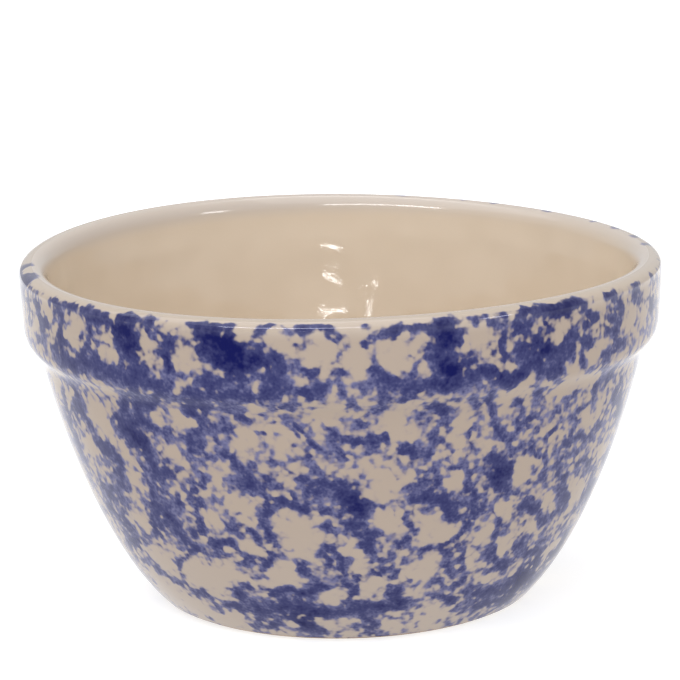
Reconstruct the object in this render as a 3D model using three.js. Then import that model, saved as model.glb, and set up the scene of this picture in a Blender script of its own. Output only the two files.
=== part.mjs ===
// A stoneware mixing bowl with a heavy collar under its lip: the fired clay body, the glaze poured inside it,
// the glaze over its outside and the glaze in the recess under its foot.
// Millimetres and degrees, +Z up. The bowl stands on Z = 0 with its axis on the Z axis.
import * as THREE from 'three';

// Overall sizes, over the glaze
const COLLAR_DIAMETER = 203.2;
const HEIGHT = 109;

// Lip: its crest, its outer rounding down to the collar's face and its inner rounding down to the wall
const LIP_OUTER_WIDTH = 4.2;
const LIP_OUTER_DROP = 3;
const LIP_INNER_WIDTH = 4.8;
const LIP_INNER_DROP = 4.5;

// Collar: a nearly upright face that narrows downwards, then a rounded underside that runs into the wall
const COLLAR_FACE_HEIGHT = 15.4;
const COLLAR_FACE_TAPER = 0.8;
const COLLAR_UNDERSIDE_HEIGHT = 13.8;
const COLLAR_OVERHANG = 6;
const COLLAR_EDGE_ROUNDING = 8.3;
const COLLAR_CREASE_ROUNDING = 8.1;

// Wall: how far it leans outwards from upright at its top and at the foot, and how long it holds each lean
const WALL_LEAN_AT_COLLAR = 13.3;
const WALL_LEAN_AT_FOOT = 44.8;
const WALL_HOLD_AT_COLLAR = 26;
const WALL_HOLD_AT_FOOT = 22.6;

// Inside: a flat floor that ends short of the glaze line, then one sweep up to the lip
const FLOOR_THICKNESS = 7;
const FLOOR_INSET = 16.5;
const SWEEP_HOLD_AT_FLOOR = 30;
const SWEEP_HOLD_AT_LIP = 70;

// Foot: where the outside glaze ends, then bare clay, a ring to stand on and a recess inside the ring
const GLAZE_LINE_DIAMETER = 121;
const GLAZE_LINE_HEIGHT = 1;
const FOOT_EDGE_ROUNDING = 2;
const FOOT_RING_WIDTH = 7;
const FOOT_RECESS_DEPTH = 2.5;
const FOOT_RECESS_SLOPE = 2;

// Glaze coats, and the hairline between clay and glaze that keeps the faceted coats off the faceted clay
const GLAZE_THICKNESS = 0.4;
const BOND_GAP = 0.05;
const UNDERSIDE_GLAZE_MARGIN = 1.5;

// Facets round the bowl, and along each curve of its outline
const FACETS_ROUND = 48;
const LIP_STEPS = 5;
const UNDERSIDE_STEPS = 6;
const WALL_STEPS = 9;
const INSIDE_SWEEP_STEPS = 10;
const FOOT_EDGE_STEPS = 3;

// Outline helpers: an outline is a list of points, each a radius and a height

function point(radius, height) {
  return new THREE.Vector2(radius, height);
}

// A unit step upwards that leans outwards by an angle from upright
function upwards(lean) {
  const angle = THREE.MathUtils.degToRad(lean);
  return new THREE.Vector2(Math.sin(angle), Math.cos(angle));
}

function along(start, direction, distance) {
  return start.clone().addScaledVector(direction, distance);
}

// A curve's points without its first one, which the stretch before it has already given
function continued(curve, steps) {
  return curve.getPoints(steps).slice(1);
}

// The outline moved sideways, to the right of its direction of travel, with mitred corners
function movedRight(outline, distance) {
  return outline.map((here, index) => {
    const before = outline[index - 1] ?? here;
    const after = outline[index + 1] ?? here;
    const arriving = here.clone().sub(before).normalize();
    const leaving = after.clone().sub(here).normalize();
    const bisector = arriving.clone().add(leaving).normalize();
    const right = new THREE.Vector2(bisector.y, -bisector.x);
    const straight = arriving.lengthSq() > 0 ? arriving : leaving;
    return along(here, right, distance / bisector.dot(straight));
  });
}

// The glazed surface: from the middle of the floor, up the inside, over the lip and down to the glaze line
const collarRadius = COLLAR_DIAMETER / 2;
const crest = point(collarRadius - LIP_OUTER_WIDTH, HEIGHT);
const insideTop = point(crest.x - LIP_INNER_WIDTH, HEIGHT - LIP_INNER_DROP);
const faceTop = point(collarRadius, HEIGHT - LIP_OUTER_DROP);
const faceBottom = point(collarRadius - COLLAR_FACE_TAPER, faceTop.y - COLLAR_FACE_HEIGHT);
const crease = point(faceBottom.x - COLLAR_OVERHANG, faceBottom.y - COLLAR_UNDERSIDE_HEIGHT);
const glazeLine = point(GLAZE_LINE_DIAMETER / 2, GLAZE_LINE_HEIGHT);
const floorMiddle = point(0, FOOT_RECESS_DEPTH + FLOOR_THICKNESS);
const floorEdge = point(glazeLine.x - FLOOR_INSET, floorMiddle.y);

const outwards = point(1, 0);
const wallTop = upwards(WALL_LEAN_AT_COLLAR);
const wallFoot = upwards(WALL_LEAN_AT_FOOT);
const faceDown = faceBottom.clone().sub(faceTop).normalize();

const insideSweep = new THREE.CubicBezierCurve(
  floorEdge,
  along(floorEdge, outwards, SWEEP_HOLD_AT_FLOOR),
  along(insideTop, wallTop, -SWEEP_HOLD_AT_LIP),
  insideTop,
);
const innerLip = new THREE.CubicBezierCurve(
  insideTop,
  along(insideTop, wallTop, LIP_INNER_DROP / 2),
  along(crest, outwards, -LIP_INNER_WIDTH / 2),
  crest,
);
const outerLip = new THREE.EllipseCurve(
  crest.x,
  faceTop.y,
  LIP_OUTER_WIDTH,
  LIP_OUTER_DROP,
  Math.PI / 2,
  0,
  true,
);
const collarUnderside = new THREE.CubicBezierCurve(
  faceBottom,
  along(faceBottom, faceDown, COLLAR_EDGE_ROUNDING),
  along(crease, wallTop, COLLAR_CREASE_ROUNDING),
  crease,
);
const outerWall = new THREE.CubicBezierCurve(
  crease,
  along(crease, wallTop, -WALL_HOLD_AT_COLLAR),
  along(glazeLine, wallFoot, WALL_HOLD_AT_FOOT),
  glazeLine,
);

const insideSkin = [
  floorMiddle,
  floorEdge,
  ...continued(insideSweep, INSIDE_SWEEP_STEPS),
  ...continued(innerLip, LIP_STEPS),
];
const outsideSkin = [
  ...continued(outerLip, LIP_STEPS),
  faceBottom,
  ...continued(collarUnderside, UNDERSIDE_STEPS),
  ...continued(outerWall, WALL_STEPS),
];
const skin = [...insideSkin, ...outsideSkin];
const crestIndex = insideSkin.length - 1;

// The same outline at the back of the glaze, and on the clay under it
const glazeBack = movedRight(skin, GLAZE_THICKNESS);
const clay = movedRight(skin, GLAZE_THICKNESS + BOND_GAP);

// The foot: the clay rounds under the glaze line to a flat ring, with a shallow recess inside the ring
const clayEnd = clay.at(-1);
const footCorner = point(clayEnd.x - clayEnd.y * (wallFoot.x / wallFoot.y), 0);
const ringOuter = point(footCorner.x - FOOT_EDGE_ROUNDING, 0);
const ringInner = point(ringOuter.x - FOOT_RING_WIDTH, 0);
const recessEdge = point(ringInner.x - FOOT_RECESS_SLOPE, FOOT_RECESS_DEPTH);
const recessMiddle = point(0, FOOT_RECESS_DEPTH);
const footEdge = new THREE.QuadraticBezierCurve(clayEnd, footCorner, ringOuter);

// Turns an outline round the Z axis into a closed solid with a name and a material
function turned(name, outline, material) {
  const geometry = new THREE.LatheGeometry(outline, FACETS_ROUND);
  geometry.rotateX(Math.PI / 2);
  const mesh = new THREE.Mesh(geometry, material);
  mesh.name = name;
  return mesh;
}

function stonewareBody() {
  const outline = [
    recessMiddle,
    recessEdge,
    ringInner,
    ...footEdge.getPoints(FOOT_EDGE_STEPS).reverse(),
    ...clay.slice(0, -1).reverse(),
  ];
  const material = new THREE.MeshStandardMaterial({ color: 0xb79d82, roughness: 0.9, metalness: 0 });
  return turned('stoneware_body', outline, material);
}

function linerGlaze() {
  const front = skin.slice(0, crestIndex + 1);
  const back = glazeBack.slice(0, crestIndex + 1);
  const outline = [...back, ...front.reverse()];
  const material = new THREE.MeshStandardMaterial({ color: 0xd3bfa6, roughness: 0.15, metalness: 0 });
  return turned('liner_glaze', outline, material);
}

function outsideGlaze() {
  const front = skin.slice(crestIndex);
  const back = glazeBack.slice(crestIndex);
  const outline = [...back, ...front.reverse(), back[0]];
  const material = new THREE.MeshStandardMaterial({ color: 0x8b88a6, roughness: 0.15, metalness: 0 });
  return turned('outside_glaze', outline, material);
}

function undersideGlaze() {
  const top = FOOT_RECESS_DEPTH - BOND_GAP;
  const bottom = top - GLAZE_THICKNESS;
  const radius = recessEdge.x - UNDERSIDE_GLAZE_MARGIN;
  const outline = [point(0, bottom), point(radius, bottom), point(radius, top), point(0, top)];
  const material = new THREE.MeshStandardMaterial({ color: 0xcbb89f, roughness: 0.2, metalness: 0 });
  return turned('underside_glaze', outline, material);
}

const bowl = new THREE.Group();
bowl.add(stonewareBody(), linerGlaze(), outsideGlaze(), undersideGlaze());

export default bowl;
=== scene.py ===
import math
import random

import bmesh
import bpy
import numpy as np
from mathutils import Matrix, Vector
from mathutils.geometry import interpolate_bezier


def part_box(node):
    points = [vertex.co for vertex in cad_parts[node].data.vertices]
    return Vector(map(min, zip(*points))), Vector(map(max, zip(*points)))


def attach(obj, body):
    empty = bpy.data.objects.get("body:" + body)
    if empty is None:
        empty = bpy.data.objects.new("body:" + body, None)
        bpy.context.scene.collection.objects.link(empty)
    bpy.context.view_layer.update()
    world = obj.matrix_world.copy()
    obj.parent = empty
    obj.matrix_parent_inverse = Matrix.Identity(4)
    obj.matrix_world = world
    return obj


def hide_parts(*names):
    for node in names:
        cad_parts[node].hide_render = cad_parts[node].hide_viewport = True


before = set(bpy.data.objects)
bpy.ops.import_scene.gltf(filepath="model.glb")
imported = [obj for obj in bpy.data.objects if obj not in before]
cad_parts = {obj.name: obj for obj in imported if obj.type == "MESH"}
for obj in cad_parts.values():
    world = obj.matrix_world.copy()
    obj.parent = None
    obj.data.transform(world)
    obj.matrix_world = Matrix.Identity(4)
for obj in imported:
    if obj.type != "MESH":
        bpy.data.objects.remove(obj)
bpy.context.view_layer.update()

# Sizes that the frame gives
outside_low, outside_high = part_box("outside_glaze")
liner_low, liner_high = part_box("liner_glaze")
underside_low, underside_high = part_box("underside_glaze")
COLLAR_RADIUS = outside_high.x
HEIGHT = outside_high.z
GLAZE_LINE_HEIGHT = outside_low.z
CREST_RADIUS = liner_high.x
UNDERSIDE_RADIUS = underside_high.x
UNDERSIDE_HEIGHT = underside_low.z
GLAZE_THICKNESS = underside_high.z - underside_low.z
FLOOR_HEIGHT = liner_low.z + GLAZE_THICKNESS

# Lip
LIP_OUTER_DROP = 0.003
LIP_INNER_WIDTH = 0.0048
LIP_INNER_DROP = 0.0045
CREST_FLAT = 0.0002

# Collar
COLLAR_FACE_HEIGHT = 0.0154
COLLAR_FACE_TAPER = 0.0008
COLLAR_UNDERSIDE_HEIGHT = 0.0138
COLLAR_OVERHANG = 0.006
COLLAR_EDGE_ROUNDING = 0.0083
COLLAR_CREASE_ROUNDING = 0.0081

# Wall and inside sweep
WALL_LEAN_AT_COLLAR = 13.3
WALL_LEAN_AT_FOOT = 44.8
WALL_HOLD_AT_COLLAR = 0.026
WALL_HOLD_AT_FOOT = 0.0226
FLOOR_INSET = 0.0165
SWEEP_HOLD_AT_FLOOR = 0.030
SWEEP_HOLD_AT_LIP = 0.070

# Foot
GLAZE_LINE_RADIUS = 0.0605
FOOT_EDGE_ROUNDING = 0.002
FOOT_RING_WIDTH = 0.007
FOOT_RECESS_DEPTH = 0.0025
FOOT_RECESS_SLOPE = 0.002
BOND_GAP = 0.00005

# Warp from the kiln: the rim leans to one side and rises at two opposite places
RIM_LEAN = 0.00046
RIM_SADDLE = 0.00093
RIM_SADDLE_TURN = math.radians(-58)

# Steps round the bowl and along each curve of its outline
SECTORS = 8
STEPS_PER_SECTOR = 45
OUTSIDE_STEPS_PER_SECTOR = 60
LIP_STEPS = 14
COLLAR_STEPS = 14
UNDERSIDE_STEPS = 16
WALL_STEPS = 60
SWEEP_STEPS = 56
FOOT_STEPS = 8

# Points nearer than this are joined where two sectors meet, and edges that turn by more than this stay sharp
SEAM_TOLERANCE = 1e-6
SHARP_ANGLE = math.radians(40)


def point(radius, height):
    return Vector((radius, 0, height))


def upwards(lean):
    """A unit step upwards that leans outwards by an angle from upright."""
    angle = math.radians(lean)
    return point(math.sin(angle), math.cos(angle))


def curve(start, start_handle, end_handle, end, steps):
    """The points of a Bezier curve after its start."""
    return interpolate_bezier(start, start_handle, end_handle, end, steps + 1)[1:]


def moved_in(outline, distance):
    """The outline moved to the right of its direction of travel, with mitred corners."""
    moved = []
    for index, here in enumerate(outline):
        arriving = (here - outline[max(index - 1, 0)]).normalized()
        leaving = (outline[min(index + 1, len(outline) - 1)] - here).normalized()
        bisector = (arriving + leaving).normalized()
        straight = arriving if arriving.length > 0 else leaving
        right = point(bisector.z, -bisector.x)
        moved.append(here + right * (distance / bisector.dot(straight)))
    return moved


# Outline of the glazed surface, from the middle of the floor over the lip to the glaze line
crest = point(CREST_RADIUS, HEIGHT)
inside_top = point(CREST_RADIUS - LIP_INNER_WIDTH, HEIGHT - LIP_INNER_DROP)
face_top = point(COLLAR_RADIUS, HEIGHT - LIP_OUTER_DROP)
face_bottom = point(COLLAR_RADIUS - COLLAR_FACE_TAPER, face_top.z - COLLAR_FACE_HEIGHT)
crease = point(face_bottom.x - COLLAR_OVERHANG, face_bottom.z - COLLAR_UNDERSIDE_HEIGHT)
glaze_line = point(GLAZE_LINE_RADIUS, GLAZE_LINE_HEIGHT)
floor_middle = point(0, FLOOR_HEIGHT)
floor_edge = point(GLAZE_LINE_RADIUS - FLOOR_INSET, FLOOR_HEIGHT)
outwards = point(1, 0)
wall_top = upwards(WALL_LEAN_AT_COLLAR)
wall_foot = upwards(WALL_LEAN_AT_FOOT)
face_down = (face_bottom - face_top).normalized()
ROUND_HANDLE = 0.5523  # handle length of a Bezier quarter circle of radius 1


def inside_outline():
    """From the middle of the floor up to the crest of the lip."""
    crest_start = crest - outwards * CREST_FLAT
    outline = [floor_middle, floor_edge]
    outline += curve(
        floor_edge,
        floor_edge + outwards * SWEEP_HOLD_AT_FLOOR,
        inside_top - wall_top * SWEEP_HOLD_AT_LIP,
        inside_top,
        SWEEP_STEPS,
    )
    outline += curve(
        inside_top,
        inside_top + wall_top * (LIP_INNER_DROP / 2),
        crest_start - outwards * (LIP_INNER_WIDTH / 2),
        crest_start,
        LIP_STEPS,
    )
    return outline + [crest]


def outside_outline():
    """From the crest of the lip over the collar and down the wall to the glaze line."""
    crest_end = crest + outwards * CREST_FLAT
    outline = [crest, crest_end]
    outline += curve(
        crest_end,
        crest_end + outwards * ((face_top.x - crest_end.x) * ROUND_HANDLE),
        face_top + point(0, LIP_OUTER_DROP * ROUND_HANDLE),
        face_top,
        LIP_STEPS,
    )
    outline += [face_top.lerp(face_bottom, step / COLLAR_STEPS) for step in range(1, COLLAR_STEPS + 1)]
    outline += curve(
        face_bottom,
        face_bottom + face_down * COLLAR_EDGE_ROUNDING,
        crease + wall_top * COLLAR_CREASE_ROUNDING,
        crease,
        UNDERSIDE_STEPS,
    )
    outline += curve(
        crease,
        crease - wall_top * WALL_HOLD_AT_COLLAR,
        glaze_line + wall_foot * WALL_HOLD_AT_FOOT,
        glaze_line,
        WALL_STEPS,
    )
    return outline


def kiln_warp(shape):
    """Lifts and lowers the rim a little, more the higher a point is."""
    for vert in shape.verts:
        turn = math.atan2(vert.co.y, vert.co.x)
        rise = RIM_SADDLE * math.cos(2 * (turn - RIM_SADDLE_TURN)) - RIM_LEAN * math.cos(turn)
        vert.co.z += rise * (vert.co.z / HEIGHT) ** 2


def spun(outline, closed=False, steps=STEPS_PER_SECTOR):
    """A shape made by spinning an outline round the Z axis, one sector of it at a time."""
    shape = bmesh.new()
    points = [shape.verts.new(spot) for spot in outline]
    edges = [shape.edges.new(pair) for pair in zip(points, points[1:])]
    if closed:
        edges.append(shape.edges.new((points[-1], points[0])))
    sector_angle = 2 * math.pi / SECTORS
    bmesh.ops.spin(
        shape,
        geom=points + edges,
        cent=(0, 0, 0),
        axis=(0, 0, 1),
        angle=sector_angle,
        steps=steps,
        use_merge=False,
    )
    sector = shape.verts[:] + shape.edges[:] + shape.faces[:]
    for index in range(1, SECTORS):
        copied = bmesh.ops.duplicate(shape, geom=sector)["geom"]
        verts = [part for part in copied if isinstance(part, bmesh.types.BMVert)]
        turn = Matrix.Rotation(index * sector_angle, 3, "Z")
        bmesh.ops.rotate(shape, verts=verts, cent=(0, 0, 0), matrix=turn)
    bmesh.ops.remove_doubles(shape, verts=shape.verts, dist=SEAM_TOLERANCE)
    bmesh.ops.recalc_face_normals(shape, faces=shape.faces)
    return shape


def finished(name, shape):
    """A smooth piece made from a shape."""
    kiln_warp(shape)
    mesh = bpy.data.meshes.new(name)
    shape.to_mesh(mesh)
    shape.free()
    mesh.shade_smooth()
    mesh.set_sharp_from_angle(angle=SHARP_ANGLE)
    piece = bpy.data.objects.new(name, mesh)
    bpy.context.scene.collection.objects.link(piece)
    return piece


inside = inside_outline()
outside = outside_outline()
skin = inside + outside[1:]
glaze_back = moved_in(skin, GLAZE_THICKNESS)
clay = moved_in(skin, GLAZE_THICKNESS + BOND_GAP)
crest_index = len(inside) - 1


# Sponging: where the sponge left much blue, where it left the cream bare and where the blue is deepest. Each
# place is given by its turn from the front in degrees, rightwards, by the way down from the crest and by its
# spread, both in millimetres. A stroke is given by its half-width in millimetres and by the turn and the way
# down of each point that it runs through. The deep dabs only darken the blue that is there.
BLUE_DABS = [
    (-71, 8, 6), (-56, 7, 3), (-56, 16, 4), (-47, 5, 4), (-40, 6, 7), (-36, 9, 6), (-36, 14, 4),
    (-30, 15, 3), (-20, 7, 7), (-19, 14, 7), (-20, 20, 6), (-10, 17, 5), (-12, 5, 3), (-4, 2, 3),
    (17, 12, 5), (18, 4, 4), (18, 17, 5), (26, 8, 3), (34, 4, 6), (41, 4, 6), (36, 17, 6), (41, 16, 4),
    (46, 10, 3), (54, 16, 4), (62, 7, 4), (71, 15, 6), (6, 6, 3), (-55, 22, 5), (-49, 22, 5),
    (-43, 23, 5), (-37, 23, 5), (-31, 23, 4), (-15, 25, 4), (-9, 25, 4), (9, 23, 3), (15, 23, 4),
    (21, 23, 4), (27, 23, 5), (33, 23, 4), (-39, 31, 5), (-25, 31, 6), (16, 32, 4), (6, 28, 3),
    (25, 34, 3), (-7, 30, 3), (-41, 43, 9), (-61, 42, 7), (-52, 53, 4), (-28, 45, 4), (-22, 38, 3),
    (-18, 55, 5), (-12, 62, 4), (-7, 61, 4), (-15, 71, 5), (2, 63, 7), (-2, 79, 4), (6, 81, 4),
    (-4, 44, 4), (4, 44, 3), (10, 44, 3), (18, 65, 7), (14, 55, 3), (31, 55, 7), (29, 62, 5), (26, 70, 4),
    (41, 63, 4), (42, 73, 5), (52, 71, 6), (58, 64, 4), (-53, 65, 5), (-43, 71, 7), (-60, 77, 7),
    (-39, 83, 5), (-28, 82, 5), (-32, 68, 3), (-15, 83, 4), (-57, 90, 5), (-44, 101, 3), (-29, 107, 5),
    (-19, 103, 6), (-14, 109, 7), (-8, 99, 6), (-6, 108, 5), (3, 106, 7), (11, 103, 6), (7, 115, 5),
    (-10, 116, 6), (9, 90, 3), (28, 98, 3), (36, 93, 5), (35, 107, 6), (47, 104, 9), (53, 109, 9),
    (42, 93, 4), (52, 88, 6), (64, 103, 8), (66, 75, 6), (63, 42, 6), (71, 55, 6), (43, 52, 3),
]
BLUE_STROKES = [
    (2.2, (-58, 3), (-56, 9), (-55, 15)), (2.4, (-53, 2), (-46, 5), (-40, 9)),
    (1.8, (-40, 2), (-34, 7), (-30, 11)), (3, (-39, 8), (-38, 15)), (1.4, (-34, 2), (-32, 4)),
    (0.9, (-47, 9), (-46, 15)), (1.1, (-51, 15), (-46, 17)), (0.7, (-45, 13), (-42, 14)),
    (1.6, (-30, 8), (-30, 14), (-31, 21)), (3, (-60, 22), (-48, 22), (-40, 23), (-31, 23)),
    (2, (-30, 27), (-22, 26), (-16, 24), (-8, 23), (-3, 24)), (3.4, (-25, 5), (-19, 9), (-16, 15)),
    (2.2, (-24, 11), (-17, 18)), (2, (-26, 21), (-22, 22), (-16, 19)), (1.5, (-14, 4), (-12, 3), (-9, 6)),
    (1.8, (-13, 12), (-10, 17), (-12, 20)), (1.1, (-8, 9), (-6, 16), (-5, 20)),
    (1.3, (-6, 4), (-2, 5), (0, 9), (0, 15)), (1, (-13, 8), (-14, 14)),
    (2, (-38, 24), (-42, 34), (-46, 40)), (2, (-33, 27), (-37, 33), (-41, 38)),
    (2.4, (-24, 28), (-27, 32), (-26, 38), (-27, 44)), (1.6, (-47, 40), (-40, 41), (-33, 40)),
    (4, (-43, 43), (-40, 50), (-38, 56)), (2, (-21, 29), (-18, 35)),
    (0.8, (-17, 36), (-15, 33), (-12, 31), (-9, 28)), (1.4, (-24, 36), (-21, 39)),
    (0.6, (-25, 42), (-18, 42)), (1.2, (-31, 47), (-28, 48)), (1.2, (-26, 48), (-20, 48)),
    (2.4, (-20, 50), (-18, 56), (-20, 58)), (1.5, (-17, 50), (-14, 57)),
    (0.9, (-25, 57), (-20, 59), (-17, 60), (-13, 58)), (1.2, (-29, 51), (-28, 56), (-30, 60), (-31, 63)),
    (1.5, (-32, 63), (-31, 70), (-31, 78)), (0.8, (-9, 35), (-6, 40), (-4, 46), (-2, 53)),
    (1.4, (-6, 36), (-4, 34), (-2, 41), (-1, 47)), (0.9, (-11, 54), (-9, 54), (-9, 59)),
    (1.6, (-17, 66), (-13, 63), (-9, 63), (-4, 66)), (2.1, (-15, 67), (-16, 72), (-14, 77)),
    (2.6, (-6, 57), (-2, 58), (1, 60), (2, 66), (2, 73)), (1.7, (-3, 72), (-2, 78), (-1, 86)),
    (1.2, (-5, 81), (-4, 85)), (0.8, (-26, 64), (-25, 69), (-26, 75)), (1.7, (-24, 74), (-22, 75)),
    (1, (-20, 72), (-18, 78)), (0.8, (-25, 71), (-21, 69)),
    (1.8, (-29, 79), (-25, 81), (-23, 86), (-20, 84)), (0.8, (-18, 80), (-12, 84), (-9, 87)),
    (1.5, (-18, 84), (-18, 91), (-15, 89)), (1.5, (-10, 85), (-8, 90), (-8, 97)),
    (1.2, (-33, 75), (-31, 84), (-31, 89)),
    (1.8, (-24, 97), (-18, 98), (-12, 98), (-7, 96), (-2, 95), (2, 97)),
    (2.4, (-30, 107), (-26, 103), (-22, 108), (-17, 104), (-10, 103), (-6, 106), (2, 104)),
    (2, (-27, 117), (-23, 113), (-17, 110), (-10, 114), (-8, 118)),
    (1.3, (-37, 105), (-33, 107), (-34, 111)),
    (1.5, (-49, 101), (-42, 100), (-42, 93), (-38, 88), (-34, 84)),
    (1, (-42, 103), (-39, 105), (-36, 100), (-33, 97)), (2.8, (-40, 70), (-38, 78), (-36, 84)),
    (1.8, (-46, 77), (-39, 72)), (1.5, (-50, 84), (-44, 80)), (1.2, (-45, 59), (-41, 57), (-43, 63)),
    (1.8, (-41, 62), (-43, 69)), (2.8, (-54, 53), (-49, 54)), (2.4, (-49, 60), (-54, 68), (-60, 71)),
    (1, (-36, 54), (-33, 56), (-36, 59)), (1.2, (-38, 62), (-35, 67)), (0.9, (-45, 112), (-44, 118)),
    (3, (-60, 40), (-56, 46)), (2.5, (-62, 78), (-56, 82)), (2.5, (-60, 90), (-55, 88)),
    (1.6, (-58, 100), (-51, 97)), (2, (-66, 8), (-62, 14), (-66, 20)), (3, (-68, 48), (-66, 60)),
    (1.2, (-2, 8), (0, 14), (0, 22), (1, 26)), (1.2, (3, 10), (8, 8), (11, 5), (14, 7), (18, 6)),
    (2.6, (18, 4), (18, 10), (17, 16), (19, 20)), (0.7, (12, 13), (15, 14)), (0.6, (9, 17), (10, 19)),
    (2.2, (6, 22), (12, 23), (20, 22), (28, 23), (34, 22), (40, 23)),
    (1.3, (20, 17), (24, 18), (27, 14), (26, 8), (27, 4)),
    (2.4, (30, 8), (31, 15), (34, 17), (38, 17), (41, 21)), (2.4, (32, 3), (37, 5), (43, 5), (47, 8)),
    (0.7, (36, 9), (39, 9)), (1.7, (46, 11), (47, 16), (45, 19), (47, 25)), (1.6, (52, 4), (54, 4)),
    (1.4, (52, 15), (54, 18)), (1.4, (52, 12), (58, 8)), (1.5, (51, 22), (58, 23)), (1, (3, 4), (5, 5)),
    (0.7, (4, 14), (4, 17)), (0.9, (21, 6), (23, 7)), (0.7, (1, 28), (3, 35), (5, 39)),
    (1.6, (7, 24), (7, 31)), (1.8, (15, 31), (18, 34), (18, 39), (16, 43)),
    (1.4, (0, 41), (4, 40), (7, 44), (11, 46), (15, 48)), (1, (6, 40), (8, 43)),
    (1.3, (25, 28), (28, 34), (28, 39), (31, 44)), (1, (22, 30), (26, 33)),
    (1, (32, 32), (35, 36), (32, 41)), (1, (36, 30), (39, 37)), (1.1, (33, 43), (37, 41), (38, 45)),
    (1.2, (42, 46), (45, 44), (49, 45)), (0.9, (42, 37), (46, 42)), (1, (24, 40), (24, 46), (25, 49)),
    (0.8, (19, 43), (20, 49)), (1, (12, 57), (14, 56)), (1, (17, 57), (19, 59)),
    (3.4, (15, 62), (19, 65), (22, 67)), (1.5, (21, 52), (24, 54), (25, 62), (26, 70)),
    (2.6, (30, 51), (31, 57), (32, 63)), (1, (33, 51), (38, 51), (42, 55), (43, 60)),
    (2.8, (1, 59), (3, 64), (3, 72), (6, 79)), (1.4, (5, 80), (7, 85)), (0.8, (10, 66), (11, 69)),
    (1.1, (11, 62), (14, 68), (14, 75), (12, 79)),
    (1.4, (12, 80), (16, 82), (20, 82), (23, 79), (28, 71)), (0.8, (33, 66), (37, 66)),
    (1, (32, 71), (35, 76), (37, 78)), (1.8, (39, 74), (43, 73), (46, 78), (50, 80)),
    (1.8, (42, 62), (45, 64), (49, 62)), (2.4, (50, 66), (52, 72), (54, 78)), (1.5, (54, 61), (60, 63)),
    (1.2, (46, 57), (50, 60)), (1.9, (21, 84), (25, 90), (28, 92)), (1, (24, 82), (28, 88)),
    (1.8, (35, 80), (34, 85), (37, 92), (40, 96)), (1.5, (39, 83), (43, 86), (50, 88)),
    (1.6, (27, 98), (29, 99)), (0.8, (1, 89), (6, 89), (8, 93), (10, 94)), (1.2, (7, 88), (11, 89)),
    (1.3, (13, 92), (14, 95)),
    (2.1, (0, 103), (5, 103), (9, 105), (14, 103), (11, 98), (17, 96), (22, 96)),
    (1.6, (6, 105), (7, 115)), (1.2, (3, 113), (5, 116)), (1.2, (16, 115), (18, 117)),
    (1.3, (22, 104), (27, 104)), (0.9, (27, 110), (30, 109)),
    (2.4, (31, 102), (33, 106), (37, 108), (40, 113)), (1.5, (33, 107), (42, 104), (48, 101)),
    (2.4, (41, 88), (48, 92), (55, 98)), (3.8, (46, 104), (52, 106), (60, 110)),
    (2.8, (42, 113), (52, 113)), (3, (64, 75), (70, 80)), (3, (62, 92), (66, 100)),
    (2.5, (64, 42), (70, 52)), (2.5, (62, 8), (70, 14)), (0.8, (-17, 38), (-12, 43)),
    (0.7, (-13, 35), (-9, 39)), (0.7, (-16, 45), (-11, 48)), (0.7, (-20, 40), (-17, 44)),
    (0.7, (-10, 42), (-7, 46)), (0.6, (-14, 40), (-12, 41)), (1.8, (-58, 31), (-59, 36), (-60, 42)),
    (2, (-67, 29), (-66, 40), (-66, 52)), (1.2, (57, 29), (59, 36)), (1.6, (49, 54), (55, 52), (60, 50)),
    (1.5, (53, 25), (54, 32), (53, 39)), (1.5, (50, 41), (49, 48), (47, 53)), (1.2, (45, 38), (51, 36)),
]
DEEP_DABS = [
    (-20, 8, 6), (-17, 14, 4), (-39, 8, 4), (-36, 14, 3), (18, 19, 4), (17, 9, 3), (36, 15, 5),
    (40, 4, 5), (27, 21, 3), (2, 63, 4), (51, 106, 6), (-12, 110, 4), (-41, 46, 4), (31, 57, 4),
    (-58, 18, 4), (66, 98, 5),
]
CREAM_GAPS = [
    (-28, 4, 4), (-15, 5, 2.5), (1, 4, 4), (7, 3, 3), (14, 3, 2.5), (49, 6, 4), (-42, 3, 2), (-8, 4, 2),
    (-52, 13, 5), (-43, 15, 4), (-33, 11, 4.5), (-27, 17, 4), (-10, 9, 5), (-3, 11, 6), (2, 15, 5),
    (9, 14, 6), (22, 10, 4), (24, 18, 3), (39, 11, 3), (49, 20, 4), (66, 11, 6), (-15, 3, 3), (3, 5, 4),
    (58, 8, 4), (-46, 29, 5), (-37, 36, 3), (-30, 38, 4), (-15, 29, 4), (-18, 42, 5), (-11, 41, 5.5),
    (-2, 32, 5), (9, 31, 4), (21, 38, 5), (9, 38, 5), (31, 30, 4), (43, 30, 5), (49, 32, 4), (-52, 42, 7),
    (-46, 61, 4), (-34, 50, 5), (-28, 70, 5), (-25, 56, 3), (-20, 67, 5), (-9, 75, 8), (2, 81, 4),
    (-21, 81, 4), (-48, 80, 4), (-48, 92, 7), (-37, 96, 8), (-29, 93, 8), (-15, 91, 6), (-3, 101, 4),
    (-16, 113, 3), (-5, 113, 4), (2, 111, 3), (5, 96, 4), (11, 115, 4), (-44, 113, 8), (-34, 115, 8),
    (-54, 108, 9), (7, 57, 6), (19, 76, 6), (9, 70, 5), (31, 78, 5), (37, 60, 5), (35, 70, 4),
    (47, 72, 5), (59, 74, 7), (52, 46, 4), (27, 48, 4), (21, 46, 4), (37, 85, 4), (16, 92, 6),
    (30, 90, 3), (36, 99, 4), (46, 98, 3), (59, 94, 4), (23, 113, 7), (46, 85, 4), (22, 57, 4),
    (-68, 35, 6), (19, 98, 4), (-62, 9, 4), (-66, 16, 4), (-57, 12, 3), (60, 14, 4), (67, 5, 4),
    (-21, 18, 2.2), (-43, 9, 2.5), (30, 11, 2.5), (13, 9, 2.5), (-63, 38, 3), (-61, 55, 4),
    (-47, 53, 3.5), (56, 43, 3.5), (66, 62, 4),
]
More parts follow.
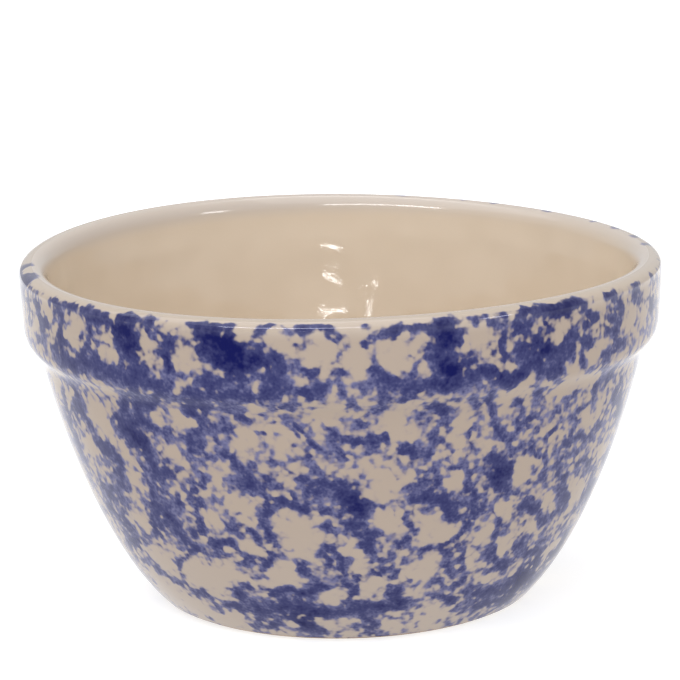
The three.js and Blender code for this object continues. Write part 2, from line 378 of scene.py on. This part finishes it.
DAB_UNIT = 0.001

# Angle of the front round the Z axis, in degrees from +X
FRONT = -90

# How far strokes, dabs and gaps reach, as shares of the sizes above, and how much dabs and gaps count beside
# a stroke, which counts 1
STROKE_REACH = 1.08
BLUE_REACH = 0.95
CREAM_REACH = 0.85
DEEP_REACH = 1
BLUE_WEIGHT = 0.22
CREAM_WEIGHT = 0.88

# How steeply a dab or a gap ends, as the power of the distance from its middle
SOFT_END = 2
FIRM_END = 3

# Sway that keeps strokes and dabs from being straight or round: how far, and the sizes of two sets of waves
WOBBLE = 0.001
WOBBLE_SIZES = (0.0023, 0.0014)
WOBBLE_SHIFT = 1

# Lip wiped clean of blue, from the crest to a drop below it that is less in front
LIP_CLEAN_DROP = 0.0018
LIP_CLEAN_LESS_IN_FRONT = 0.0008
LIP_CLEAN_WEIGHT = 1.5

# Dashes of blue left on the lip, each by its turn and its half-width in degrees. From the inside outwards
# they start short of the crest, are full just before it and fade over a drop below it.
LIP_DASHES = [
    (167, 1.6), (154, 1), (147, 1.2), (134, 2), (120, 1.3), (112, 2), (103, 1.8), (95, 2), (-75, 3), (-84, 2),
]
LIP_DASH_START = -0.002
LIP_DASH_FULL = -0.0001
LIP_DASH_DROP = 0.003
LIP_DASH_WEIGHT = 2.4

# The far side, beyond the turn to which dabs and strokes are listed one by one: how many are strewn there,
# and the least and the most of each of their measures
HAND_PLACED_TURN = 76
FAR_SIDE = (HAND_PLACED_TURN, 360 - HAND_PLACED_TURN)
SCATTER_SEED = 11
SCATTERED_BLUE = 120
SCATTERED_CREAM = 90
SCATTERED_STROKES = 190
SCATTERED_DEEP = 14
SCATTER_TOP = 2
SCATTER_BOTTOM = 118
SCATTER_SPREAD = (3, 8)
STROKE_START_DOWN = (2, 116)
STROKE_HALF_WIDTH = (0.8, 2.6)
STROKE_BENDS = (1, 3)
STROKE_STEP = (-6, 6)

# Band of strokes along the lower edge of the collar on the far side
BAND_STEP = 6
BAND_DOWN = 23
BAND_HALF_WIDTH = (1.2, 3)


def place_on_outside(turn, down):
    """The point of the outside surface at a turn from the front and a way down from the crest."""
    left = down * DAB_UNIT
    spot = outside[-1]
    for start, end in zip(outside, outside[1:]):
        length = (end - start).length
        if left <= length:
            spot = start.lerp(end, left / length)
            break
        left -= length
    return Matrix.Rotation(math.radians(turn + FRONT), 3, "Z") @ spot


def scattered(count, chance):
    """Places strewn over the far side of the bowl."""
    places = []
    for _ in range(count):
        turn = chance.uniform(*FAR_SIDE)
        down = chance.uniform(SCATTER_TOP, SCATTER_BOTTOM)
        places.append((turn, down, chance.uniform(*SCATTER_SPREAD)))
    return places


def scattered_strokes(count, chance):
    """Strokes strewn over the far side of the bowl, and the band along its collar."""
    strokes = []
    for _ in range(count):
        turn = chance.uniform(*FAR_SIDE)
        down = chance.uniform(*STROKE_START_DOWN)
        stroke = [chance.uniform(*STROKE_HALF_WIDTH), (turn, down)]
        for _ in range(chance.randint(*STROKE_BENDS)):
            turn += chance.uniform(*STROKE_STEP)
            down += chance.uniform(*STROKE_STEP)
            stroke.append((turn, min(max(down, SCATTER_TOP), SCATTER_BOTTOM)))
        strokes.append(stroke)
    for turn in range(*FAR_SIDE, BAND_STEP):
        half_width = chance.uniform(*BAND_HALF_WIDTH)
        strokes.append((half_width, (turn, BAND_DOWN), (turn + BAND_STEP, BAND_DOWN)))
    return strokes


def lip_dashes(spots):
    """How much blue the sponge carried over the lip at each spot: most at the crest."""
    turns = np.degrees(np.arctan2(spots[:, 0], -spots[:, 1]))
    past_crest = np.hypot(spots[:, 0], spots[:, 1]) - CREST_RADIUS
    outward_share = np.clip((past_crest - LIP_DASH_START) / (LIP_DASH_FULL - LIP_DASH_START), 0, 1)
    upward_share = np.clip(1 - (HEIGHT - spots[:, 2]) / LIP_DASH_DROP, 0, 1)
    dashes = np.zeros(len(spots))
    for turn, half_width in LIP_DASHES:
        dashes += np.exp(-(((turns - turn) / half_width) ** 2))
    return LIP_DASH_WEIGHT * outward_share * upward_share * dashes


def stroke_load(spots, strokes):
    """How much blue the strokes leave at each spot: 1 on a stroke's middle, falling to 0 beside it."""
    load = np.zeros(len(spots))
    for half_width, *points in strokes:
        reach = half_width * STROKE_REACH * DAB_UNIT
        places = [np.array(place_on_outside(turn, down)) for turn, down in points]
        for start, end in zip(places, places[1:]):
            way = end - start
            along = np.clip((spots - start) @ way / (way @ way), 0, 1)
            away = np.linalg.norm(spots - start - along[:, None] * way, axis=1)
            load = np.maximum(load, np.exp(-((away / reach) ** 2)))
    return load


def dab_load(spots, dabs, reach, power):
    """How much the dabs leave at each spot: 1 at a dab's middle, falling to 0 beyond its spread."""
    load = np.zeros(len(spots))
    for turn, down, spread in dabs:
        away = np.linalg.norm(spots - np.array(place_on_outside(turn, down)), axis=1)
        load += np.exp(-((away / (spread * reach * DAB_UNIT)) ** power))
    return load


def store(shape, name, values):
    """Keeps a value on each vertex under a name."""
    layer = shape.verts.layers.float.new(name)
    for vert, value in zip(shape.verts, values):
        vert[layer] = value


def sponge_depth(spots):
    """How much darker the blue is at each spot."""
    chance = random.Random(SCATTER_SEED + 1)
    return dab_load(spots, DEEP_DABS + scattered(SCATTERED_DEEP, chance), DEEP_REACH, SOFT_END)


def sponge_load(spots):
    """How much blue the sponge left at each spot: more than 0 for dabs and strokes, less for bare gaps."""
    chance = random.Random(SCATTER_SEED)
    blue = BLUE_DABS + scattered(SCATTERED_BLUE, chance)
    cream = CREAM_GAPS + scattered(SCATTERED_CREAM, chance)
    strokes = BLUE_STROKES + scattered_strokes(SCATTERED_STROKES, chance)
    clean = LIP_CLEAN_DROP + LIP_CLEAN_LESS_IN_FRONT * spots[:, 1] / COLLAR_RADIUS
    lip = lip_dashes(spots) - LIP_CLEAN_WEIGHT * np.clip(1 - (HEIGHT - spots[:, 2]) / clean, 0, 1)
    wide_sway = np.sin(spots[:, [1, 2, 0]] / WOBBLE_SIZES[0])
    fine_sway = np.sin(spots[:, [2, 0, 1]] / WOBBLE_SIZES[1] + WOBBLE_SHIFT)
    spots = spots + WOBBLE * (wide_sway + fine_sway)
    load = lip + stroke_load(spots, strokes)
    load += BLUE_WEIGHT * dab_load(spots, blue, BLUE_REACH, SOFT_END)
    load -= CREAM_WEIGHT * dab_load(spots, cream, CREAM_REACH, FIRM_END)
    return load


def spots_of(shape):
    return np.array([vert.co for vert in shape.verts])


def make_liner():
    shape = spun(inside + glaze_back[crest_index::-1])
    store(shape, "sponge_load", lip_dashes(spots_of(shape)))
    return finished("liner_coat", shape)


def make_outside():
    back = glaze_back[crest_index:]
    lip_back = back[:LIP_STEPS]
    # The back lies hidden against the clay, so below the lip every second point of it is enough
    wall_back = back[LIP_STEPS:-1:2]
    outline = outside + [back[-1]] + wall_back[::-1] + lip_back[::-1]
    shape = spun(outline, closed=True, steps=OUTSIDE_STEPS_PER_SECTOR)
    store(shape, "sponge_load", sponge_load(spots_of(shape)))
    store(shape, "sponge_depth", sponge_depth(spots_of(shape)))
    return finished("sponged_coat", shape)


def make_underside():
    top = UNDERSIDE_HEIGHT + GLAZE_THICKNESS
    outline = [
        point(0, UNDERSIDE_HEIGHT),
        point(UNDERSIDE_RADIUS, UNDERSIDE_HEIGHT),
        point(UNDERSIDE_RADIUS, top),
        point(0, top),
    ]
    return finished("underside_coat", spun(outline))


def make_clay():
    clay_end = clay[-1]
    foot_corner = point(clay_end.x - clay_end.z * (wall_foot.x / wall_foot.z), 0)
    ring_outer = foot_corner - outwards * FOOT_EDGE_ROUNDING
    ring_inner = ring_outer - outwards * FOOT_RING_WIDTH
    recess_edge = point(ring_inner.x - FOOT_RECESS_SLOPE, FOOT_RECESS_DEPTH)
    outline = list(clay)
    outline += curve(clay_end, foot_corner, foot_corner, ring_outer, FOOT_STEPS)
    outline += [ring_inner, recess_edge, point(0, FOOT_RECESS_DEPTH)]
    return finished("clay_body", spun(outline))


# Material helper
class Value:
    """An output of a node in a material. Sums on it add Math nodes, and node() adds any other node."""

    def __init__(self, socket):
        self.socket = socket
        self.tree = socket.id_data

    def node(self, kind, settings, sockets, output=0):
        """A new node with its settings and with a value or a constant in each of the sockets named."""
        made = self.tree.nodes.new(kind)
        for name, setting in settings.items():
            setattr(made, name, setting)
        for name, value in sockets.items():
            if isinstance(value, Value):
                self.tree.links.new(value.socket, made.inputs[name])
            else:
                made.inputs[name].default_value = value
        return Value(made.outputs[output])

    def math(self, operation, first, second):
        return self.node("ShaderNodeMath", {"operation": operation}, {0: first, 1: second})

    def __add__(self, other):
        return self.math("ADD", self, other)

    def __sub__(self, other):
        return self.math("SUBTRACT", self, other)

    def __rsub__(self, other):
        return self.math("SUBTRACT", other, self)

    def __mul__(self, other):
        return self.math("MULTIPLY", self, other)

    __radd__ = __add__
    __rmul__ = __mul__

    def rise(self, low, high):
        """0 below low, 1 above high and a smooth step between them."""
        sockets = {"Value": self, "From Min": low, "From Max": high}
        return self.node("ShaderNodeMapRange", {"interpolation_type": "SMOOTHSTEP"}, sockets)

    def mix(self, at_zero, at_one):
        """One colour where this value is 0 and another where it is 1."""
        sockets = {0: self, 6: at_zero, 7: at_one}
        return self.node("ShaderNodeMix", {"data_type": "RGBA"}, sockets, output=2)

    def stored(self, name):
        """The value that the piece stores on its vertices under a name."""
        return self.node("ShaderNodeAttribute", {"attribute_name": name}, {}, output="Fac")

    def height(self):
        return self.node("ShaderNodeSeparateXYZ", {}, {0: self}, output="Z")

    def moved(self, x, y, z):
        return self.node("ShaderNodeVectorMath", {"operation": "ADD"}, {0: self, 1: (x, y, z)})

    def bent(self, size, reach):
        """The place moved about by soft noise, by up to about half the reach each way."""
        sockets = {"Vector": self, "Scale": 1 / size, "Detail": 0}
        sway = self.node("ShaderNodeTexNoise", {}, sockets, output="Color")
        sockets = {0: sway, 1: (reach, reach, reach), 2: self}
        return self.node("ShaderNodeVectorMath", {"operation": "MULTIPLY_ADD"}, sockets)

    def noise(self, size, detail=2.0, roughness=0.5):
        """Cloudy noise, from 0 to 1, with features of about the size given in metres."""
        sockets = {"Vector": self, "Scale": 1 / size, "Detail": detail, "Roughness": roughness}
        return self.node("ShaderNodeTexNoise", {}, sockets)

    def cloud(self, strength, size, detail=0, roughness=0.5):
        """Cloudy noise about 0, from minus half the strength to half of it."""
        return strength * (self.noise(size, detail, roughness) - 0.5)

    def pores(self, size):
        """A softened distance to the nearest of many scattered points, in units of their spacing."""
        sockets = {"Vector": self, "Scale": 1 / size, "Smoothness": 0.5}
        return self.node("ShaderNodeTexVoronoi", {"feature": "SMOOTH_F1"}, sockets)

    def bump(self, distance):
        return self.node("ShaderNodeBump", {}, {"Height": self, "Distance": distance})


def new_material(name):
    """A material, its shader and the Object coordinates that its pattern reads."""
    material = bpy.data.materials.new(name)
    material.use_nodes = True
    nodes = material.node_tree.nodes
    place = Value(nodes.new("ShaderNodeTexCoord").outputs["Object"])
    return material, nodes["Principled BSDF"], place


def plug(shader, name, value):
    value.tree.links.new(value.socket, shader.inputs[name])


# Colours
WHITE = (1, 1, 1, 1)
LINER_CREAM = (0.602, 0.5, 0.39, 1)
LINER_SHADE = (0.582, 0.48, 0.37, 1)
# Cream of the lip, painted darker than the liner's cream as painted shade on the lip's top
LIP_CREAM_PAINTED_SHADE = (0.488, 0.424, 0.373, 1)
# Creams of the outside, painted darker than the liner's cream as painted shade; the one for the foot is
# painted lighter than the collar's as painted light
OUTER_LIP_CREAM_PAINTED_SHADE = (0.445, 0.372, 0.302, 1)
COLLAR_CREAM_PAINTED_SHADE = (0.374, 0.304, 0.243, 1)
FOOT_CREAM_PAINTED_LIGHT = (0.43, 0.362, 0.305, 1)
PALE_BLUE = (0.142, 0.142, 0.253, 1)
MID_BLUE = (0.045, 0.048, 0.132, 1)
DEEP_BLUE = (0.001, 0.002, 0.062, 1)
BLUISH_GLOSS = (0.45, 0.5, 1, 1)
CLAY_PALE = (0.44, 0.335, 0.245, 1)
CLAY_BROWN = (0.30, 0.21, 0.145, 1)
CLAY_SPECK = (0.12, 0.08, 0.055, 1)

# Depths of what the light shows on a surface
GLAZE_RIPPLE = 0.00008
WALL_RIPPLE = 0.0005
GLAZE_GRAIN = 0.000009
CLAY_GRAIN = 0.0001

# Sizes, shifts and reaches of the patterns
RIPPLE_SIZE = 0.013
RIPPLE_SHIFT = (0, 0, 0.005)
GRAIN_SIZE = 0.0007
CREAM_PATCH_SIZE = 0.025
DASH_EDGE_SIZE = 0.003
SPONGE_BEND_SIZE = 0.0045
SPONGE_BEND_REACH = 0.0018
SPONGE_PATCH_SIZE = 0.007
SPONGE_PORE_SIZE = 0.0032
SPONGE_BLOT_SIZE = 0.0024
SPONGE_SPECK_SIZE = 0.0013
BLUE_PATCH_SIZE = 0.008
BLUE_MOTTLE_SIZE = 0.0022
BLUE_SPECK_SIZE = 0.0009
CLAY_PATCH_SIZE = 0.009
CLAY_SPECK_SIZE = 0.0011

# Heights between which a look changes
# Heights over which the outside's cream is painted lighter towards the foot, as painted light
FOOT_PAINTED_LIGHT_HEIGHTS = (-0.02, 0.065)
RIPPLE_START = (0.05, 0.065)
RIPPLE_END = (HEIGHT - 0.014, HEIGHT - 0.007)
COLLAR_FACE = (0.089, 0.098)
INNER_LIP = (HEIGHT - 0.007, HEIGHT - 0.001)
OUTER_LIP = (HEIGHT - 0.006, HEIGHT)
GLOSSY_LIP = (HEIGHT - 0.005, HEIGHT - 0.002)

# Values of a pattern between which a look changes
CREAM_PATCH_RISE = (0.35, 0.65)
DASH_RISE = (0.6, 2.2)
CLAY_PATCH_RISE = (0.3, 0.7)
CLAY_SPECK_RISE = (0.68, 0.78)
FIRM_EDGE = (-0.22, 0.22)
WIDE_EDGE = (-0.45, 0.15)
MID_BLUE_RISE = (-0.3, 0.7)
DEEP_BLUE_RISE = (0.3, 2)

# How much each thing counts in where the blue covers the cream, and how much is taken off for bare cream
LOAD_COVER = 0.72
PATCH_COVER = 0.4
PORE_COVER = 0.8
BLOT_COVER = 1
SPECK_COVER = 0.45
BARE_COVER = 0.12

# Middle of the values that the pores give, and the firm edge's share of the blue
PORE_MIDDLE = 0.42
FIRM_EDGE_SHARE = 0.75

# How much each thing counts in how deep the blue is
PATCH_TONE = 0.6
MOTTLE_TONE = 1.2
SPECK_TONE = 0.6
CLOUD_TONE = 1.2
LOAD_TONE = 0.3
COVER_TONE = 0.7
DEPTH_TONE = 0.75
COLLAR_TONE = 0.25

# Roughness and gloss
LINER_ROUGHNESS = 0.06
OUTSIDE_ROUGHNESS = 0.1
OUTSIDE_GLOSS = 0.18
LIP_COAT = 0.6
CLAY_ROUGHNESS = 0.9


def rippled(place, wall_ripple=0.0):
    """The faint ripple and grain of a fired glaze, with more ripple on the wall under the lip."""
    height = place.height()
    upper_wall = height.rise(*RIPPLE_START) - height.rise(*RIPPLE_END)
    depth = GLAZE_RIPPLE + wall_ripple * upper_wall
    ripple = depth * place.moved(*RIPPLE_SHIFT).noise(RIPPLE_SIZE, detail=0)
    return (ripple + GLAZE_GRAIN * place.noise(GRAIN_SIZE, detail=0)).bump(1)


def cream_glaze():
    material, shader, place = new_material("cream_glaze")
    load = place.stored("sponge_load")
    cream = place.noise(CREAM_PATCH_SIZE).rise(*CREAM_PATCH_RISE).mix(LINER_SHADE, LINER_CREAM)
    # Painted shade: the lip's top is painted darker than the wall under it
    cream = place.height().rise(*INNER_LIP).mix(cream, LIP_CREAM_PAINTED_SHADE)
    dash = (load + 2 * place.noise(DASH_EDGE_SIZE) - 1).rise(*DASH_RISE)
    plug(shader, "Base Color", dash.mix(cream, PALE_BLUE))
    plug(shader, "Normal", rippled(place, WALL_RIPPLE))
    shader.inputs["Roughness"].default_value = LINER_ROUGHNESS
    return material


def sponged_glaze():
    material, shader, place = new_material("sponged_glaze")
    load = place.stored("sponge_load")
    depth = place.stored("sponge_depth")
    height = place.height()
    # Each part of a pattern is read at a place moved by a different amount, so that the parts don't line up
    bent = place.bent(SPONGE_BEND_SIZE, SPONGE_BEND_REACH)
    foam = bent.cloud(PATCH_COVER, SPONGE_PATCH_SIZE)
    foam += PORE_COVER * (bent.moved(0.3, 0, 0).pores(SPONGE_PORE_SIZE) - PORE_MIDDLE)
    foam += bent.moved(0.2, 0, 0).cloud(BLOT_COVER, SPONGE_BLOT_SIZE)
    foam += place.moved(0, 0.2, 0).cloud(SPECK_COVER, SPONGE_SPECK_SIZE)
    # The blue covers the cream with a firm edge and a fainter, wider one
    cover = LOAD_COVER * load + foam - BARE_COVER
    ink = FIRM_EDGE_SHARE * cover.rise(*FIRM_EDGE) + (1 - FIRM_EDGE_SHARE) * cover.rise(*WIDE_EDGE)
    mottle = place.cloud(PATCH_TONE, BLUE_PATCH_SIZE, detail=1)
    mottle += place.moved(0.5, 0, 0).cloud(MOTTLE_TONE, BLUE_MOTTLE_SIZE, detail=2, roughness=0.6)
    mottle += place.moved(0.6, 0, 0).cloud(SPECK_TONE, BLUE_SPECK_SIZE)
    # The higher the tone, the deeper the blue
    tone = CLOUD_TONE * mottle + LOAD_TONE * load + COVER_TONE * cover + DEPTH_TONE * depth
    tone += COLLAR_TONE * height.rise(*COLLAR_FACE)
    blue = tone.rise(*MID_BLUE_RISE).mix(PALE_BLUE, MID_BLUE)
    blue = tone.rise(*DEEP_BLUE_RISE).mix(blue, DEEP_BLUE)
    # Painted shade and light: the outside's cream is painted darker than the liner's, and lighter towards the
    # foot
    cream = height.rise(*FOOT_PAINTED_LIGHT_HEIGHTS).mix(FOOT_CREAM_PAINTED_LIGHT, COLLAR_CREAM_PAINTED_SHADE)
    cream = height.rise(*OUTER_LIP).mix(cream, OUTER_LIP_CREAM_PAINTED_SHADE)
    plug(shader, "Base Color", ink.mix(cream, blue))
    plug(shader, "Normal", rippled(place))
    plug(shader, "Coat Weight", LIP_COAT * height.rise(*GLOSSY_LIP))
    shader.inputs["Roughness"].default_value = OUTSIDE_ROUGHNESS
    shader.inputs["Specular IOR Level"].default_value = OUTSIDE_GLOSS
    shader.inputs["Specular Tint"].default_value = BLUISH_GLOSS
    return material


def bare_clay():
    material, shader, place = new_material("bare_clay")
    patches = place.noise(CLAY_PATCH_SIZE, detail=3, roughness=0.6)
    colour = patches.rise(*CLAY_PATCH_RISE).mix(CLAY_BROWN, CLAY_PALE)
    colour = place.noise(CLAY_SPECK_SIZE, detail=0).rise(*CLAY_SPECK_RISE).mix(colour, CLAY_SPECK)
    plug(shader, "Base Color", colour)
    plug(shader, "Normal", place.noise(GRAIN_SIZE).bump(CLAY_GRAIN))
    shader.inputs["Roughness"].default_value = CLAY_ROUGHNESS
    return material


# Pieces
def place_piece(piece, material, node):
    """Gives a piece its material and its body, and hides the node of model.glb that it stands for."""
    piece.data.materials.append(material)
    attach(piece, "root")
    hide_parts(node)


cream = cream_glaze()
place_piece(make_clay(), bare_clay(), "stoneware_body")
place_piece(make_liner(), cream, "liner_glaze")
place_piece(make_outside(), sponged_glaze(), "outside_glaze")
place_piece(make_underside(), cream, "underside_glaze")

# Camera: where it stands, the point it looks at, its tilt and its lens
CAMERA_SPOT = Vector((0, -0.9662, 0.3079))
CAMERA_AIM = Vector((-0.00055, 0, 0.0803))
CAMERA_TILT = math.radians(-1.07)
CAMERA_SENSOR = 36
CAMERA_LENS = 164.8


def make_camera():
    data = bpy.data.cameras.new("camera")
    data.sensor_width = CAMERA_SENSOR
    data.lens = CAMERA_LENS
    camera = bpy.data.objects.new("camera", data)
    aimed = (CAMERA_AIM - CAMERA_SPOT).to_track_quat("-Z", "Y").to_matrix().to_4x4()
    camera.matrix_world = Matrix.Translation(CAMERA_SPOT) @ aimed @ Matrix.Rotation(CAMERA_TILT, 4, "Z")
    bpy.context.scene.collection.objects.link(camera)
    bpy.context.scene.camera = camera


# Floor and light
FLOOR_HALF = 6
FLOOR_GLOW = 0.72
FLOOR_GREY = (0.45, 0.45, 0.45, 1)
FLOOR_ROUGHNESS = 0.9
BOWL_MIDDLE = (0, 0, HEIGHT / 2)
FAR_WALL = (0, 0.09, 0.08)
FLOOR_BEHIND = (0, 1.2, 0)
FRONTNESS_RISE = (-0.4, 1)


def make_floor():
    shape = bmesh.new()
    bmesh.ops.create_grid(shape, x_segments=1, y_segments=1, size=FLOOR_HALF)
    mesh = bpy.data.meshes.new("floor")
    shape.to_mesh(mesh)
    shape.free()
    floor = bpy.data.objects.new("floor", mesh)
    bpy.context.scene.collection.objects.link(floor)
    material, shader, _ = new_material("pale_floor")
    shader.inputs["Base Color"].default_value = FLOOR_GREY
    shader.inputs["Roughness"].default_value = FLOOR_ROUGHNESS
    shader.inputs["Emission Color"].default_value = WHITE
    shader.inputs["Emission Strength"].default_value = FLOOR_GLOW
    floor.data.materials.append(material)


def make_light(name, azimuth, elevation, distance, width, height, power, aim=BOWL_MIDDLE, spread=180):
    """An area light that faces a point. Azimuth 0 is the camera's side and grows to its right."""
    round_angle = math.radians(azimuth)
    up_angle = math.radians(elevation)
    side = math.sin(round_angle) * math.cos(up_angle)
    front = -math.cos(round_angle) * math.cos(up_angle)
    away = Vector((side, front, math.sin(up_angle)))
    data = bpy.data.lights.new(name, "AREA")
    data.shape = "RECTANGLE"
    data.size = width
    data.size_y = height
    data.energy = power
    data.spread = math.radians(spread)
    light = bpy.data.objects.new(name, data)
    spot = away * distance
    facing = (Vector(aim) - spot).to_track_quat("-Z", "Y").to_matrix().to_4x4()
    light.matrix_world = Matrix.Translation(spot) @ facing
    bpy.context.scene.collection.objects.link(light)


def make_surroundings(behind, in_front):
    """White surroundings that grow brighter towards the front."""
    world = bpy.data.worlds.new("surroundings")
    world.use_nodes = True
    nodes = world.node_tree.nodes
    direction = Value(nodes.new("ShaderNodeTexCoord").outputs["Generated"])
    frontness = -1 * direction.node("ShaderNodeSeparateXYZ", {}, {0: direction}, output="Y")
    strength = behind + (in_front - behind) * frontness.rise(*FRONTNESS_RISE)
    plug(nodes["Background"], "Strength", strength)
    nodes["Background"].inputs["Color"].default_value = WHITE
    bpy.context.scene.world = world


make_camera()
make_floor()
make_light("window", azimuth=-21, elevation=51, distance=1.5, width=1.11, height=0.12, power=6)
make_light("lamp", azimuth=58, elevation=34, distance=1.5, width=0.26, height=0.2, power=1.6)
make_light(
    "pane", azimuth=3.2, elevation=17.4, distance=1.44, width=0.22, height=0.018, power=0.45, aim=FAR_WALL
)
make_light(
    "gap", azimuth=-12.9, elevation=17.2, distance=1.43, width=0.012, height=0.03, power=0.05, aim=FAR_WALL
)
make_light("high", azimuth=-75, elevation=78, distance=2.2, width=3.2, height=2.4, power=24.5)
make_light(
    "backdrop",
    azimuth=180,
    elevation=55,
    distance=2,
    width=3,
    height=1,
    power=12,
    aim=FLOOR_BEHIND,
    spread=70,
)
make_surroundings(behind=0.68, in_front=0.85)
bpy.context.scene.view_settings.view_transform = "Standard"
